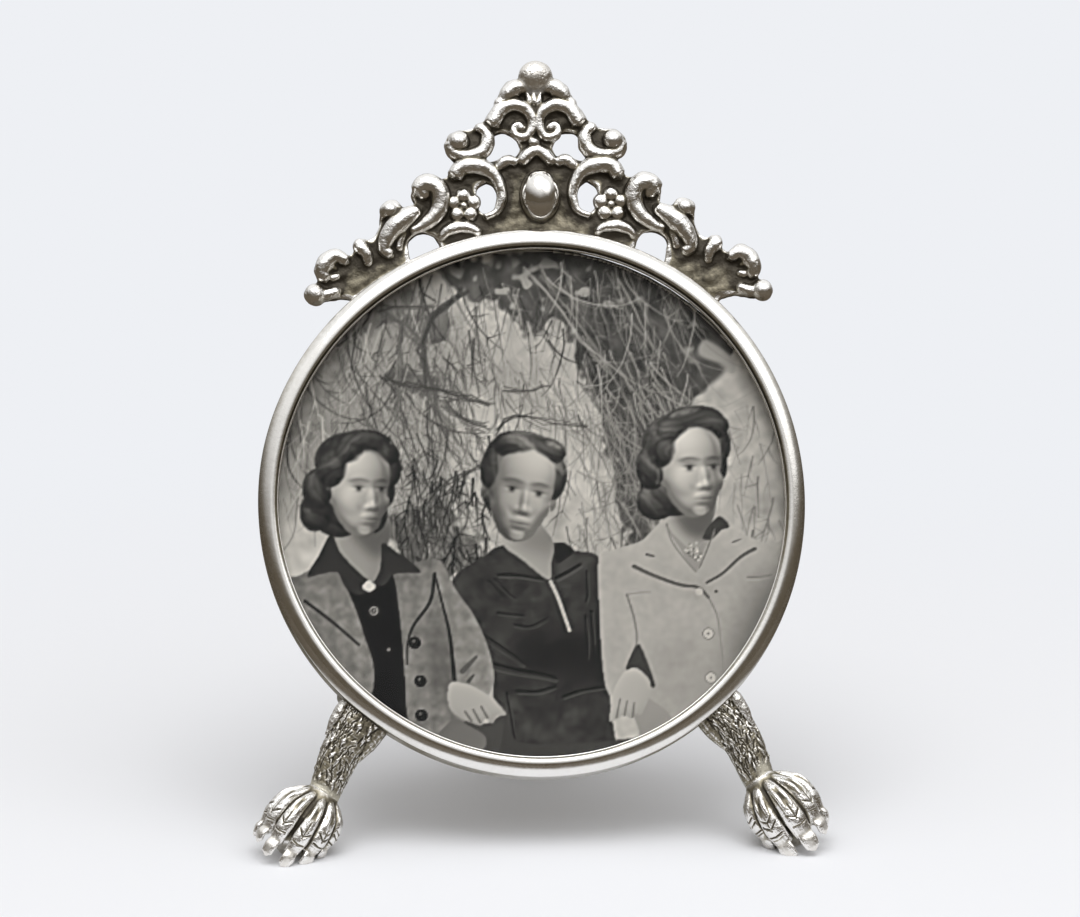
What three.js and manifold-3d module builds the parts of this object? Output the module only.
// Round easel photo frame with a pierced scroll crest, lion-paw feet and a hinged rear strut
import * as THREE from "three";
import { mergeVertices } from "three/addons/utils/BufferGeometryUtils.js";
import Module from "manifold-3d";

const wasm = await Module();
wasm.setup();

// Driving dimensions in millimetres, angles in degrees
const RIM_DIAMETER = 72.4;
const RIM_HEIGHT = 43.5;
const RIM_OFFSET = -0.7;
const CREST_OFFSET = 1.2;
const LEAN = 22;
const MOULDING_WIDTH = 1.4;
const MOULDING_CROWN = 0.85;
const LIP_WIDTH = 0.42;
const LIP_HEIGHT = 0.42;
const WALL_DEPTH = 4.85;
const WALL_SHEET = 1.7;
const WALL_FLARE = 0.95;
const FLARE_DEPTH = 2.6;
const CREST_SHEET = 1.3;
const CREST_SETBACK = 1.2;
const RELIEF_STRETCH = 1.05;
const BOSS_RADIUS = 2.65;
const BOSS_STRETCH = 1.2;
const LEG_WIDTH = 6.4;
const ANKLE_WIDTH = 4;
const LEG_RISE = 12.6;
const ANKLE_INSET = 7.7;
const ANKLE_DROP = 1.4;
const PAW_SPLAY = 5.6;
const PAW_REACH = 2.6;
const RIGHT_ANKLE_RISE = 0.9;
const PAW_RADIUS = 4.8;
const PAW_LENGTH = 10.8;
const TOE_COUNT = 6;
const GLASS_SHEET = 1.6;
const PRINT_SHEET = 0.3;
const CARD_SHEET = 1.4;
const BACK_SHEET = 0.8;
const HINGE_ABOVE_CENTRE = 6;
const HINGE_STANDOFF = 2.4;
const HINGE_LENGTH = 15;
const LEAF_SHEET = 0.7;
const LEAF_HEIGHT = 10;
const PIN_RADIUS = 0.6;
const STRUT_REACH = 27;
const STRUT_WIDTH = 16;
const STRUT_FOOT_WIDTH = 10;
const STRUT_SHEET = 1.2;
const BUTTON_LENGTH = 6;
const BUTTON_SHEET = 0.7;
const SOLDER_GAP = 0.2;
const STACK_GAP = 0.1;
const RUNNING_GAP = 0.1;
const SIDE_GAP = 0.3;

// Derived sizes
const lean = THREE.MathUtils.degToRad(LEAN);
const rimRadius = RIM_DIAMETER / 2;
const mouldingOuter = rimRadius - WALL_FLARE;
const mouldingInner = mouldingOuter - MOULDING_WIDTH;
const openingRadius = mouldingInner - LIP_WIDTH;
const wallOuter = rimRadius - 0.1;
const wallInner = wallOuter - WALL_SHEET;
const wallMiddle = (wallOuter + wallInner) / 2;
const paneRadius = wallInner - 0.3;
const wallFront = SOLDER_GAP;
const wallBack = wallFront + WALL_DEPTH;
const glassFront = 2 * STACK_GAP;
const printFront = glassFront + GLASS_SHEET + STACK_GAP;
const cardFront = printFront + PRINT_SHEET + STACK_GAP;
const backFront = cardFront + CARD_SHEET + STACK_GAP;
const backRear = backFront + BACK_SHEET;
const leafFront = backRear + STACK_GAP;
const leafRear = leafFront + LEAF_SHEET;
const legDepth = wallFront + WALL_DEPTH / 2;
const unit = rimRadius / 36;
const RIM_SIDES = 64;

// Materials
const metal = (color, roughness) =>
  new THREE.MeshStandardMaterial({ color, roughness, metalness: 1 });
const polished = () => metal(0xdcdad4, 0.16);
const cast = () => metal(0xcfccc2, 0.28);
const sheet = () => metal(0xc9c6be, 0.35);

// The leaning part of the frame and the standing part, in one group
const frame = new THREE.Group();
const leaning = new THREE.Group();
leaning.rotation.x = -lean;
leaning.position.set(0, 0, RIM_HEIGHT);
leaning.updateMatrix();
frame.add(leaning);

function solid(geometry) {
  const bare = geometry.clone();
  bare.deleteAttribute("normal");
  bare.deleteAttribute("uv");
  const welded = mergeVertices(bare, 1e-5);
  return new wasm.Manifold(
    new wasm.Mesh({
      numProp: 3,
      vertProperties: new Float32Array(welded.attributes.position.array),
      triVerts: new Uint32Array(welded.index.array),
    }),
  );
}

function addPiece(name, body, material, parent = leaning) {
  const mesh = body.simplify(0.02).getMesh();
  const geometry = new THREE.BufferGeometry();
  geometry.setAttribute(
    "position",
    new THREE.BufferAttribute(new Float32Array(mesh.vertProperties), 3),
  );
  geometry.setIndex(new THREE.BufferAttribute(new Uint32Array(mesh.triVerts), 1));
  geometry.computeVertexNormals();
  const piece = new THREE.Mesh(geometry, material);
  piece.name = name;
  parent.add(piece);
}

const join = (bodies) => wasm.Manifold.union(bodies);

// The same body with any pocket sealed inside it filled
const filled = (body) => join(body.decompose().filter((shell) => shell.volume() > 0));

// A solid of revolution about the frame's depth axis
function turned(profile, segments = RIM_SIDES, x = 0, z = 0) {
  const points = profile.map(([radius, depth]) => new THREE.Vector2(radius, depth));
  return solid(new THREE.LatheGeometry(points, segments).translate(x, 0, z));
}

function disc(radius, front, back, segments = RIM_SIDES, x = 0, z = 0) {
  const middle = (front + back) / 2;
  return solid(
    new THREE.CylinderGeometry(radius, radius, back - front, segments).translate(x, middle, z),
  );
}

function block(x0, x1, y0, y1, z0, z1) {
  const box = new THREE.BoxGeometry(x1 - x0, y1 - y0, z1 - z0);
  return solid(box.translate((x0 + x1) / 2, (y0 + y1) / 2, (z0 + z1) / 2));
}

// A flat outline in the X-Z plane, given thickness in depth
function plate(points, front, back) {
  const outline = new THREE.Shape(points.map(([x, z]) => new THREE.Vector2(x, z)));
  const raised = new THREE.ExtrudeGeometry(outline, { depth: back - front, bevelEnabled: false });
  return solid(raised.rotateX(Math.PI / 2).translate(0, back, 0));
}

// A round bar along a curve, with a width that changes along it
function bar(curve, radiusAt, depthAxis, { sides = 6, steps = 10, flat = 1 } = {}) {
  const geometry = new THREE.CylinderGeometry(1, 1, 1, sides, steps);
  const position = geometry.attributes.position;
  const across = new THREE.Vector3();
  const lift = new THREE.Vector3();
  for (let i = 0; i < position.count; i += 1) {
    const along = THREE.MathUtils.clamp(position.getY(i) + 0.5, 0, 1);
    const tangent = curve.getTangentAt(along);
    across.crossVectors(depthAxis, tangent).normalize();
    lift.crossVectors(across, tangent);
    const radius = radiusAt(along);
    const point = curve
      .getPointAt(along)
      .addScaledVector(across, radius * position.getX(i))
      .addScaledVector(lift, radius * flat * position.getZ(i));
    const isEndCentre = position.getX(i) === 0 && position.getZ(i) === 0;
    if (isEndCentre) point.addScaledVector(tangent, Math.sign(along - 0.5) * 0.7 * radius);
    position.setXYZ(i, point.x, point.y, point.z);
  }
  return solid(geometry);
}

// Widths given at even stations along a bar, with straight runs between them
const widths = (...stations) => (along) => {
  const place = along * (stations.length - 1);
  const station = Math.min(Math.floor(place), stations.length - 2);
  return THREE.MathUtils.lerp(stations[station], stations[station + 1], place - station);
};

function ball(centre, radii, around = 8, down = 6) {
  const sphere = new THREE.SphereGeometry(1, around, down);
  return solid(sphere.scale(...radii).translate(...centre));
}

// Everything on the far side of a plane, as a large block to take away
function beyond(point, normal, reach = 60) {
  const box = new THREE.BoxGeometry(reach, reach, reach).translate(0, 0, reach / 2);
  const turn = new THREE.Quaternion().setFromUnitVectors(new THREE.Vector3(0, 0, 1), normal);
  return solid(box.applyQuaternion(turn).translate(point.x, point.y, point.z));
}

// The rim with its solder gap, to take away from whatever is soldered to it
const rimCore = turned(
  [
    [0, -30],
    [mouldingOuter + SOLDER_GAP, -30],
    [mouldingOuter + SOLDER_GAP, wallFront],
    [rimRadius + SOLDER_GAP, wallFront + FLARE_DEPTH],
    [rimRadius + SOLDER_GAP, 30],
    [0, 30],
  ],
  96,
  RIM_OFFSET,
);

// Bezel: a half-round moulding with a fine lip rubbed over the glass
const crownMiddle = (mouldingInner + mouldingOuter) / 2;
const crownRows = 7;
const crownArc = Array.from({ length: crownRows + 1 }, (_, row) => {
  const angle = Math.PI * (1 - row / crownRows);
  return [
    crownMiddle + (MOULDING_WIDTH / 2) * Math.cos(angle),
    -0.2 - MOULDING_CROWN * Math.sin(angle),
  ];
});
const bezelProfile = [
  [openingRadius, 0],
  [openingRadius, -LIP_HEIGHT * 0.6],
  [openingRadius + LIP_WIDTH * 0.3, -LIP_HEIGHT],
  [openingRadius + LIP_WIDTH * 0.7, -LIP_HEIGHT],
  ...crownArc,
  [mouldingOuter, 0],
  [openingRadius, 0],
];
addPiece("bezel_moulding", turned(bezelProfile, RIM_SIDES, RIM_OFFSET), polished());

// Deep side wall that flares out behind the bezel, drilled at the back for the turn-button rivets
const buttonAngles = [45, 135, 225, 315].map(THREE.MathUtils.degToRad);
const buttonPlaces = buttonAngles.map((angle) => ({
  angle,
  x: RIM_OFFSET + wallMiddle * Math.cos(angle),
  z: wallMiddle * Math.sin(angle),
}));
const rivetRadius = 0.27 * (wallOuter - wallInner);
const rivetSeat = rivetRadius + RUNNING_GAP;
const rivetFront = wallBack - WALL_DEPTH / 2;
const wallProfile = [
  [wallInner, wallFront],
  [wallOuter - WALL_FLARE, wallFront],
  [wallOuter, wallFront + FLARE_DEPTH],
  [wallOuter, wallBack - 0.3],
  [wallOuter - 0.3, wallBack],
  [wallInner, wallBack],
  [wallInner, wallFront],
];
const wall = turned(wallProfile, RIM_SIDES, RIM_OFFSET);
const rivetHoles = buttonPlaces.map(({ x, z }) =>
  disc(rivetSeat, rivetFront - RUNNING_GAP, wallBack + 1, 12, x, z),
);
addPiece("rim_wall", wall.subtract(join(rivetHoles)), polished());

// Stack inside the rim: glass, print, card and back
addPiece(
  "glass_pane",
  disc(paneRadius, glassFront, glassFront + GLASS_SHEET, RIM_SIDES, RIM_OFFSET),
  new THREE.MeshStandardMaterial({ color: 0xe4ecee, roughness: 0.04, metalness: 0 }),
);
addPiece(
  "photo_print",
  disc(paneRadius, printFront, printFront + PRINT_SHEET, RIM_SIDES, RIM_OFFSET),
  new THREE.MeshStandardMaterial({ color: 0xa8a8a4, roughness: 0.5, metalness: 0 }),
);
addPiece(
  "backing_card",
  disc(paneRadius, cardFront, cardFront + CARD_SHEET, RIM_SIDES, RIM_OFFSET),
  new THREE.MeshStandardMaterial({ color: 0x8a7350, roughness: 0.9, metalness: 0 }),
);

// Crest drawn on its right half, in thirty-sixths of the rim radius from the rim centre
const outlineHalf = [
  [0, 57.2], [2.0, 56.8], [4.0, 55.9], [5.0, 54.4], [5.3, 52.6], [6.3, 51.6], [8.2, 50.5], [10.4, 49.9],
  [11.3, 48.6], [11.0, 46.9], [10.2, 46.0], [10.8, 44.9], [12.0, 44.3], [13.6, 44.6], [15.4, 43.8],
  [15.9, 42.2], [15.6, 40.4], [17.4, 40.0], [18.6, 40.7], [20.0, 40.0], [20.3, 38.4], [20.6, 36.4],
  [21.6, 35.4], [23.2, 35.6], [23.6, 34.2], [24.4, 33.4], [26.0, 33.9], [27.6, 33.0], [28.3, 31.0],
  [28.4, 29.8], [29.7, 29.2], [29.9, 28.2], [28.6, 27.9], [27.0, 28.0], [25.2, 28.0], [23.4, 27.4],
];
const upperWindow = [
  [2.0, 47.6], [2.8, 49.2], [4.2, 49.8], [5.6, 49.2], [6.7, 47.0], [6.3, 45.9], [4.4, 46.4], [2.8, 46.4],
];
const ovalWindow = [
  [6.5, 43.2], [5.5, 42.5], [5.0, 41.0], [5.4, 39.5], [6.5, 38.9], [7.6, 39.5], [7.9, 41.0], [7.6, 42.4],
];
const rimWindow = [
  [12.7, 35.0], [13.6, 36.1], [15.4, 36.2], [16.6, 35.3], [16.6, 33.8], [15.8, 31.5], [12.4, 32.5],
];
// Scrolls: the points of each one's path and its half-widths along it
const scrolls = [
  // Leaf shoulder under the apex, and its lower lobe
  { path: [[1.1, 55.8], [2.4, 55.8], [3.5, 55.0], [4.2, 53.8]], wide: widths(0.75, 1.25, 1.15, 0.75), steps: 7 },
  { path: [[4.0, 54.4], [4.6, 53.6], [4.6, 52.8]], wide: widths(0.6, 0.85, 0.6), steps: 4 },
  // Upper volute
  {
    path: [
      [5.6, 51.0], [4.5, 52.8], [2.9, 53.5], [1.35, 53.0], [0.5, 51.8],
      [0.5, 50.3], [1.2, 49.2], [2.3, 49.2], [2.9, 50.0], [2.5, 50.8],
    ],
    wide: widths(0.9, 0.88, 0.83, 0.7, 0.6, 0.52),
    steps: 18,
  },
  // Small outer scroll with a knob
  {
    path: [[7.4, 50.6], [6.4, 49.6], [6.4, 48.0], [7.3, 46.9], [8.9, 46.6], [10.4, 47.2], [10.7, 48.3]],
    wide: widths(0.6, 0.8, 0.83, 0.78, 0.73),
    steps: 13,
  },
  // Large scroll over the flower
  {
    path: [
      [10.5, 43.9], [9.7, 45.0], [8.2, 45.3], [6.6, 44.9], [5.5, 44.0],
      [4.75, 42.5], [4.6, 40.8], [5.2, 39.2], [6.7, 38.4],
    ],
    wide: widths(1.1, 1.28, 1.22, 0.85, 0.67, 0.58, 0.49),
    steps: 16,
  },
  // Low arch on the rim
  { path: [[7.8, 37.1], [8.7, 38.0], [10.1, 38.4], [11.4, 37.8], [12.0, 36.9]], wide: widths(0.5, 0.85, 0.55), steps: 8 },
  // Comma scroll
  {
    path: [
      [15.0, 42.6], [14.2, 43.5], [12.9, 43.2], [12.2, 42.0],
      [12.4, 40.3], [13.4, 38.7], [15.0, 37.5], [16.2, 37.0],
    ],
    wide: widths(1.16, 1.52, 1.4, 1.22, 1.1, 0.85, 0.55),
    steps: 15,
  },
  // Long leaf scroll with the fold and the bud beside it
  {
    path: [[15.4, 39.4], [16.9, 38.4], [18.4, 37.0], [19.4, 35.5], [19.7, 34.1], [18.9, 33.4]],
    wide: widths(0.85, 1.34, 1.52, 1.28, 0.98, 0.67),
    steps: 13,
  },
  { path: [[16.8, 37.0], [17.6, 35.6], [17.9, 34.2]], wide: widths(0.43, 0.55, 0.43), steps: 5 },
  { path: [[17.6, 39.2], [18.6, 40.2], [19.8, 39.6], [19.8, 38.4]], wide: widths(0.49, 0.61, 0.49), steps: 7 },
  // Upright blade
  { path: [[22.6, 35.2], [23.0, 34.6], [22.2, 33.6], [21.8, 32.2]], wide: widths(0.73, 0.98, 0.8, 0.49), steps: 7 },
  // Leaf curl near the tip, and the tip
  {
    path: [[24.6, 32.6], [26.0, 33.2], [27.1, 32.6], [27.7, 31.2], [27.4, 30.2]],
    wide: widths(0.73, 1.16, 1.22, 0.85),
    steps: 10,
  },
  { path: [[29.0, 28.3], [27.4, 28.3], [25.6, 28.7]], wide: widths(1.3, 1.0, 0.73), steps: 5 },
  // Leaf lying on the rim
  { path: [[18.2, 32.6], [20.4, 32.2], [22.5, 31.0], [24.2, 29.2]], wide: widths(0.73, 1.28, 1.22, 0.61), steps: 8 },
  // Shoulder of the keystone, and the hood over the boss
  { path: [[2.6, 45.8], [3.6, 46.2], [4.9, 45.3]], wide: widths(0.43, 0.61, 0.49), steps: 6 },
  { path: [[0, 47.7], [0.9, 47.3], [2.0, 45.9]], wide: widths(0.6, 0.67, 0.6), steps: 6 },
];
// Knobs, buds and petals: place and radius
const flower = [9.5, 40.4];
const petals = Array.from({ length: 5 }, (_, petal) => {
  const angle = ((petal + 0.25) / 5) * 2 * Math.PI;
  return [flower[0] + 1.4 * Math.cos(angle), flower[1] + 1.4 * Math.sin(angle), 1.0];
});
const knobs = [
  [1.9, 50.4, 0.6],
  [9.6, 48.7, 1.45],
  [14.3, 42.6, 1.1],
  [19.0, 39.4, 1.2],
  [26.9, 32.2, 1.0],
  [28.8, 28.8, 1.45],
  [...flower, 0.6],
  ...petals,
];
const depthAxis = new THREE.Vector3(0, 1, 0);
const crestFront = CREST_SETBACK;
const crestBack = crestFront + CREST_SHEET;
const crestPoint = (side) => ([x, z]) => new THREE.Vector3(side * x * unit, crestFront, z * unit);

function roundedOutline(points, count) {
  const line = new THREE.SplineCurve(points.map(([x, z]) => new THREE.Vector2(x, z)));
  return line.getPoints(count).map(({ x, y }) => [x * unit, y * unit]);
}

const mirrored = (points) => points.map(([x, z]) => [-x, z]).reverse();
const rightEdge = roundedOutline(outlineHalf, 2 * outlineHalf.length);
const crestOutline = [...mirrored(rightEdge), ...rightEdge.slice(1)];
const windows = [upperWindow, ovalWindow, rimWindow].flatMap((points) => {
  const loop = roundedOutline([...points, points[0]], 2 * points.length).slice(0, -1);
  return [loop, mirrored(loop)].map((edge) => plate(edge, crestFront - 3, crestBack + 3));
});
const reliefs = [1, -1].flatMap((side) => [
  ...scrolls.map(({ path, wide, steps }) => {
    const curve = new THREE.CatmullRomCurve3(path.map(crestPoint(side)));
    return bar(curve, (along) => wide(along) * unit, depthAxis, { steps, flat: RELIEF_STRETCH });
  }),
  ...knobs.map(([x, z, radius]) => {
    const place = crestPoint(side)([x, z]).toArray();
    return ball(place, [radius * unit, RELIEF_STRETCH * radius * unit, radius * unit], 8, 5);
  }),
]);
const bossPlace = crestPoint(1)([0.1, 40.9]);
const upright = (body) => body.scale([1, 1, BOSS_STRETCH]).translate([bossPlace.x, 0, bossPlace.z]);
const onAxis = (body) => body.translate([CREST_OFFSET, 0, 0]);
const bossSeat = upright(disc(BOSS_RADIUS + RUNNING_GAP, crestFront - 2, crestBack + 3, 24));
const collarFront = crestFront - 0.42 * CREST_SHEET;
const collar = upright(disc(1.19 * BOSS_RADIUS, collarFront, crestBack, 24));
const middleForms = [
  ball([-0.2 * unit, crestFront, 57.5 * unit], [2.1 * unit, 1.8 * unit, 1.95 * unit], 10, 7),
  ball([-0.3 * unit, crestFront, 48.3 * unit], [0.85 * unit, 1.1 * unit, 0.75 * unit]),
  ...[-1.1, -0.2, 0.7].map((spread) => {
    const stem = [[spread * 0.3 - 0.2, 52.8], [spread * 0.7, 54.0], [spread, 55.2]];
    const fan = new THREE.CatmullRomCurve3(stem.map(crestPoint(1)));
    return bar(fan, (along) => widths(0.3, 0.45, 0.35)(along) * unit, depthAxis, { steps: 4, flat: 1.6 });
  }),
  collar,
];
const crestBody = plate(crestOutline, crestFront, crestBack)
  .subtract(join(windows))
  .add(join([...reliefs, ...middleForms]))
  .subtract(bossSeat);
addPiece("crest", filled(onAxis(crestBody).subtract(rimCore)), cast());

// Polished dome set through the middle of the crest
const bossRows = 6;
const bossArc = Array.from({ length: bossRows }, (_, row) => {
  const angle = (Math.PI / 2) * (row / bossRows);
  return [BOSS_RADIUS * Math.cos(angle), collarFront - 0.72 * BOSS_RADIUS * Math.sin(angle)];
});
const bossProfile = [
  [0, collarFront - 0.72 * BOSS_RADIUS],
  ...bossArc.reverse(),
  [BOSS_RADIUS, crestBack],
  [0, crestBack],
];
addPiece("crest_boss", onAxis(upright(turned(bossProfile, 24))), polished());

// Feet: a chased leg soldered behind the rim and a lion's paw soldered at the ankle
const onFrame = (x, y, z) => new THREE.Vector3(x, y, z).applyMatrix4(leaning.matrix);
const leanNormal = new THREE.Vector3(0, 1, 0).transformDirection(leaning.matrix);
const down = new THREE.Vector3(0, 0, -1);
const underFloor = beyond(new THREE.Vector3(0, 0, 0), down, 200);
const rimCoreLeaning = rimCore.transform(leaning.matrix.toArray());
const ankleX = rimRadius - ANKLE_INSET;
const ankleZ = -(rimRadius + ANKLE_DROP);

function foot(side, rise) {
  const ankle = onFrame(side * ankleX, legDepth, ankleZ + rise);
  const sole = new THREE.Vector3(side * (ankleX + PAW_SPLAY), ankle.y - PAW_REACH, 0);
  const axis = sole.clone().sub(ankle).normalize();
  const legPoint = (inward, up) =>
    onFrame(side * (ankleX - inward * LEG_RISE), legDepth, ankleZ + rise + up * LEG_RISE);
  const legRoute = new THREE.CatmullRomCurve3([
    legPoint(0.57, 1),
    legPoint(0.35, 0.68),
    legPoint(0.18, 0.43),
    legPoint(0.095, 0.24),
    ankle.clone(),
    ankle.clone().addScaledVector(axis, 0.12 * LEG_RISE),
  ]);
  const thigh = LEG_WIDTH / 2;
  const shank = ANKLE_WIDTH / 2;
  const legWidth = widths(thigh, thigh, thigh, 0.92 * thigh, 1.15 * shank, shank, shank);
  const trunk = bar(legRoute, legWidth, leanNormal, { sides: 10, steps: 9, flat: 0.78 });
  // Fur tufts lie down the leg in staggered rows
  const tufts = [0.42, 0.62].flatMap((row, order) =>
    [-75, -25, 25, 75].map((degrees) => {
      const turn = THREE.MathUtils.degToRad(degrees + (order % 2) * 25);
      const heart = legRoute.getPointAt(row);
      const tangent = legRoute.getTangentAt(row);
      const outward = new THREE.Vector3()
        .crossVectors(leanNormal, tangent)
        .normalize()
        .multiplyScalar(Math.sin(turn))
        .addScaledVector(leanNormal, -0.8 * Math.cos(turn));
      const radius = legWidth(row);
      const place = (along, out) =>
        heart.clone().addScaledVector(tangent, along).addScaledVector(outward, out * radius);
      const tuft = [place(-0.5 * thigh, 0.8), place(0, 0.94), place(0.7 * thigh, 0.98)];
      const route = new THREE.CatmullRomCurve3(tuft);
      const tuftWidths = widths(0.11 * thigh, 0.27 * thigh, 0.23 * thigh, 0.06 * thigh);
      return bar(route, tuftWidths, outward, { sides: 4, steps: 3, flat: 0.45 });
    }),
  );
  const leg = join([trunk, ...tufts])
    .subtract(rimCoreLeaning)
    .subtract(beyond(ankle, axis));

  // Paw: toes spread round the front of the ankle's line, each with a claw
  const outward = new THREE.Vector3(side, 0, 0).projectOnPlane(axis).normalize();
  const forward = new THREE.Vector3().crossVectors(axis, outward).multiplyScalar(side);
  const toes = Array.from({ length: TOE_COUNT }, (_, toe) => {
    const turn = THREE.MathUtils.degToRad(THREE.MathUtils.mapLinear(toe, 0, TOE_COUNT - 1, -72, 86));
    const radial = outward
      .clone()
      .multiplyScalar(Math.sin(turn))
      .addScaledVector(forward, Math.cos(turn));
    const floorReach = (ankle.z + PAW_RADIUS * radial.z) / -axis.z;
    const length = Math.min(floorReach, PAW_LENGTH * (1 - 0.15 * Math.max(0, Math.sin(turn)) ** 2));
    const place = (along, out) =>
      ankle.clone().addScaledVector(axis, along * length).addScaledVector(radial, out * PAW_RADIUS);
    const route = new THREE.CatmullRomCurve3([
      place(0.13, 0.25),
      place(0.24, 0.62),
      place(0.47, 0.88),
      place(0.7, 0.94),
      place(0.84, 0.86),
    ]);
    const claw = new THREE.CatmullRomCurve3([place(0.76, 0.9), place(0.9, 1.02), place(1.02, 0.98)]);
    const toeWidth = (0.26 * PAW_RADIUS * 6) / TOE_COUNT;
    const tangential = new THREE.Vector3().crossVectors(radial, axis);
    const toeWidths = widths(0.7 * toeWidth, 0.85 * toeWidth, toeWidth, 1.05 * toeWidth, 0.9 * toeWidth);
    return join([
      bar(route, toeWidths, tangential, { sides: 7, steps: 6 }),
      bar(claw, widths(0.55 * toeWidth, 0.68 * toeWidth, 0.48 * toeWidth), tangential, { sides: 6, steps: 2 }),
    ]);
  });
  const onAxisLine = (along) => ankle.clone().addScaledVector(axis, along * PAW_LENGTH);
  const core = new THREE.CatmullRomCurve3([
    onAxisLine(-0.1),
    onAxisLine(0.25),
    onAxisLine(0.5),
    onAxisLine(0.56).setZ(-1),
  ]);
  const palm = 0.86 * PAW_RADIUS;
  const coreWidths = widths(shank, 0.66 * palm, palm, 0.8 * palm, 0.62 * palm);
  const paw = join([bar(core, coreWidths, leanNormal, { sides: 12, steps: 8 }), ...toes])
    .subtract(underFloor)
    .subtract(beyond(ankle.clone().addScaledVector(axis, SOLDER_GAP), axis.clone().negate()));
  return { leg: filled(leg), paw: filled(paw) };
}

for (const [name, side, rise] of [["left", -1, 0], ["right", 1, RIGHT_ANKLE_RISE]]) {
  const { leg, paw } = foot(side, rise);
  addPiece(name + "_leg", leg, cast(), frame);
  addPiece(name + "_paw", paw, cast(), frame);
}

// Back sheet with the fixed half of the strut's hinge riveted to it
const hingeY = leafRear + HINGE_STANDOFF;
const hingeZ = HINGE_ABOVE_CENTRE;
const leafHalf = HINGE_LENGTH / 2;
const leafTop = hingeZ + LEAF_HEIGHT;
const hingeRivetRadius = 0.55;
const hingeRivets = [0.45, 0.82].flatMap((up) =>
  [-1, 1].map((side) => ({
    x: RIM_OFFSET + side * leafHalf * 0.66,
    z: hingeZ + up * LEAF_HEIGHT,
  })),
);
const hingeRivetHoles = join(
  hingeRivets.map(({ x, z }) => disc(hingeRivetRadius + RUNNING_GAP, backFront - 1, leafRear + 1, 12, x, z)),
);
addPiece(
  "back_plate",
  disc(paneRadius, backFront, backRear, RIM_SIDES, RIM_OFFSET).subtract(hingeRivetHoles),
  sheet(),
);

const knuckleRadius = PIN_RADIUS + 0.8;
const strutKnuckle = HINGE_LENGTH * 0.19;
function crossBar(radius, x0, x1, sides = 16) {
  const rod = new THREE.CylinderGeometry(radius, radius, x1 - x0, sides).rotateZ(Math.PI / 2);
  return solid(rod.translate((x0 + x1) / 2, 0, 0));
}
const fixedKnuckles = [-1, 1].flatMap((side) => {
  const inner = strutKnuckle + SIDE_GAP;
  const [x0, x1] = side > 0 ? [inner, leafHalf] : [-leafHalf, -inner];
  const tube = crossBar(knuckleRadius, x0, x1).translate([RIM_OFFSET, hingeY, hingeZ]);
  const web = block(x0 + RIM_OFFSET, x1 + RIM_OFFSET, leafFront, hingeY, hingeZ, hingeZ + knuckleRadius);
  return [tube, web];
});
const leafSheet = block(
  RIM_OFFSET - leafHalf,
  RIM_OFFSET + leafHalf,
  leafFront,
  leafRear,
  hingeZ,
  leafTop,
);
const pinBore = crossBar(PIN_RADIUS + RUNNING_GAP, -leafHalf - 1, leafHalf + 1);
const hingeBore = pinBore.translate([RIM_OFFSET, hingeY, hingeZ]);
addPiece(
  "hinge_leaf",
  join([leafSheet, ...fixedKnuckles]).subtract(join([hingeBore, hingeRivetHoles])),
  sheet(),
);
hingeRivets.forEach(({ x, z }, order) => {
  const head = hingeRivetRadius * 1.8;
  const seat = leafRear + STACK_GAP;
  const profile = [
    [0, backFront],
    [hingeRivetRadius, backFront],
    [hingeRivetRadius, seat],
    [head, seat],
    [head * 0.8, seat + 0.32],
    [head * 0.4, seat + 0.5],
    [0, seat + 0.55],
  ];
  addPiece("hinge_rivet_" + (order + 1), turned(profile, 12, x, z), sheet());
});
const pinHead = PIN_RADIUS * 1.5;
const pinEnd = leafHalf + SIDE_GAP / 2;
const pin = join([
  crossBar(PIN_RADIUS, -pinEnd - 0.5, pinEnd + 0.5),
  crossBar(pinHead, -pinEnd - 0.5, -pinEnd),
  crossBar(pinHead, pinEnd, pinEnd + 0.5),
]);
addPiece("hinge_pin", pin.translate([RIM_OFFSET, hingeY, hingeZ]), sheet());

// Strut: a tapered sheet hung on the pin, its heel stopping it open and its foot cut level
const hingeWorld = onFrame(RIM_OFFSET, hingeY, hingeZ);
const strutTurn = Math.atan2(STRUT_REACH - hingeWorld.y, hingeWorld.z);
const strutLength = Math.hypot(STRUT_REACH - hingeWorld.y, hingeWorld.z);
const opening = strutTurn + lean;
const heelRise = (HINGE_STANDOFF - 0.2 - (STRUT_SHEET / 2) * Math.cos(opening)) / Math.sin(opening);
const shoulder = -knuckleRadius - SIDE_GAP - STRUT_SHEET;
const strutHalf = STRUT_WIDTH / 2;
const footHalf = STRUT_FOOT_WIDTH / 2;
const strutOutline = [
  [-strutKnuckle, 0],
  [-strutKnuckle, shoulder],
  [-strutHalf, shoulder - 1.2],
  [-strutHalf, shoulder - 5],
  [-footHalf, -strutLength - 3],
  [footHalf, -strutLength - 3],
  [strutHalf, shoulder - 5],
  [strutHalf, shoulder - 1.2],
  [strutKnuckle, shoulder],
  [strutKnuckle, 0],
];
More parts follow.
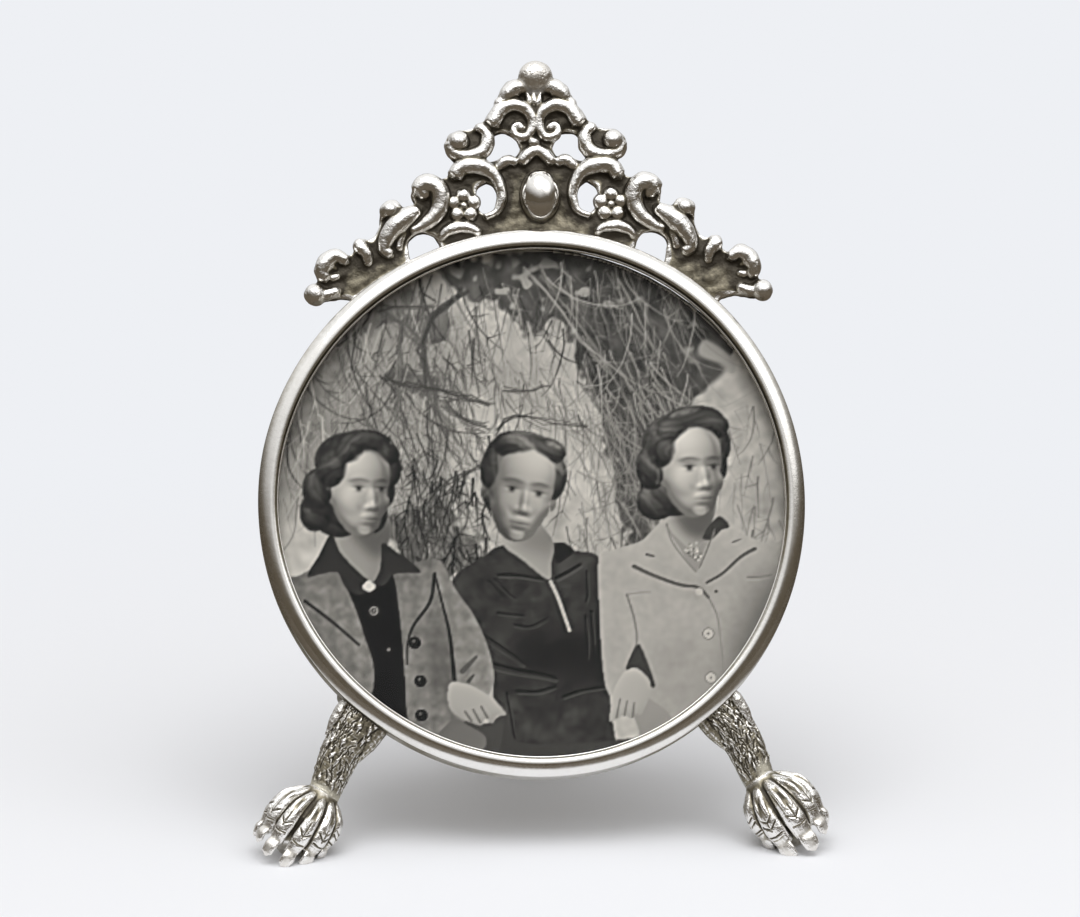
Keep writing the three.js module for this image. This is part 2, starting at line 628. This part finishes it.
const halfSheet = STRUT_SHEET / 2;
const heel = block(-strutKnuckle, strutKnuckle, -halfSheet, halfSheet, 0, heelRise);
const strutTurned = new THREE.Matrix4().makeRotationX(strutTurn).setPosition(hingeWorld);
const strutTube = crossBar(knuckleRadius, -strutKnuckle, strutKnuckle);
const strut = join([plate(strutOutline, -halfSheet, halfSheet), heel, strutTube])
  .subtract(pinBore)
  .transform(strutTurned.toArray())
  .subtract(underFloor);
addPiece("strut", strut, sheet(), frame);

// Turn buttons hold the back in; each swings on a rivet in the rim wall
const buttonFront = wallBack + STACK_GAP;
const buttonBack = buttonFront + BUTTON_SHEET;
const buttonHalf = 0.65 * (wallOuter - wallInner);
const buttonArm = BUTTON_LENGTH - 2 * buttonHalf;
const buttonOutline = new THREE.Shape()
  .absarc(0, 0, buttonHalf, -Math.PI / 2, Math.PI / 2)
  .absarc(-buttonArm, 0, buttonHalf, Math.PI / 2, (3 * Math.PI) / 2);
const buttonPoints = buttonOutline.getPoints(6).slice(0, -1).map(({ x, y }) => [x, y]);
const buttonHole = disc(rivetSeat, buttonFront - 1, buttonBack + 1, 12);
const headFront = buttonBack + STACK_GAP;
buttonPlaces.forEach(({ angle, x, z }, order) => {
  const turn = new THREE.Matrix4().makeRotationY(-angle).setPosition(x, 0, z);
  const button = plate(buttonPoints, buttonFront, buttonBack).subtract(buttonHole);
  addPiece("turn_button_" + (order + 1), button.transform(turn.toArray()), sheet());
  const rivetProfile = [
    [0, rivetFront],
    [rivetRadius, rivetFront],
    [rivetRadius, headFront],
    [2 * rivetRadius, headFront],
    [1.6 * rivetRadius, headFront + 0.35],
    [0, headFront + 0.5],
  ];
  addPiece("button_rivet_" + (order + 1), turned(rivetProfile, 12, x, z), sheet());
});

// Origin at the bottom centre of the whole piece
frame.updateMatrixWorld(true);
const extent = new THREE.Box3().setFromObject(frame, true);
const centre = extent.getCenter(new THREE.Vector3());
for (const child of frame.children) {
  child.position.x -= centre.x;
  child.position.y -= centre.y;
}

export default frame;
